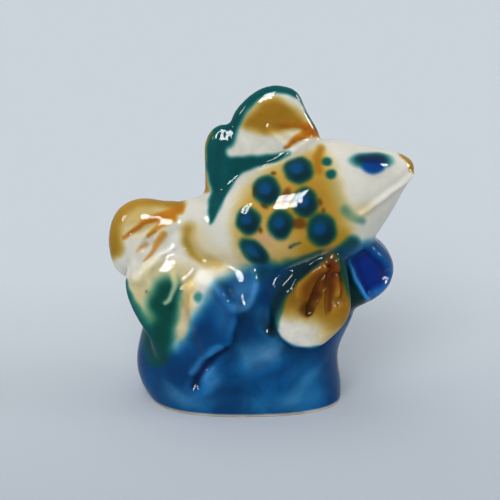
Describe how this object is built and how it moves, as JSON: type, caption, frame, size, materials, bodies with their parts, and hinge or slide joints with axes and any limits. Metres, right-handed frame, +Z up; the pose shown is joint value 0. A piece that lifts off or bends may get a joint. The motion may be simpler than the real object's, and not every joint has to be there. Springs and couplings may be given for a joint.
{
  "type": "fish figurine",
  "caption": "Standing glazed porcelain fish with raised dorsal fin, draped tail and pectoral fins, leaping from a hollow oval wave base.",
  "frame": {"origin": "on the table under the middle of the figure's bounding box", "axes": "+X from the tail to the snout, +Z up, the fish's right side faces -Y"},
  "size_m": [0.0893, 0.041, 0.095],
  "materials": {
    "wave_glaze": "cobalt blue wash under clear gloss glaze",
    "body_glaze": "ivory porcelain with brushed spots under clear gloss glaze",
    "fin_glaze": "ivory with teal and ochre brushwork under clear gloss glaze",
    "tail_glaze": "ivory with ochre and green brushwork under clear gloss glaze",
    "pectoral_glaze": "ochre and brown brushwork under clear gloss glaze"
  },
  "bodies": {
    "root": {"wave_base": "wave_glaze", "wave_crest": "wave_glaze", "fish_body": "body_glaze", "dorsal_fin_front": "fin_glaze", "dorsal_fin_rear": "fin_glaze", "tail_upper_lobe": "tail_glaze", "tail_lower_lobe_right": "tail_glaze", "tail_lower_lobe_left": "tail_glaze", "pectoral_fin_right": "pectoral_glaze", "pectoral_fin_left": "pectoral_glaze"}
  },
  "joints": []
}
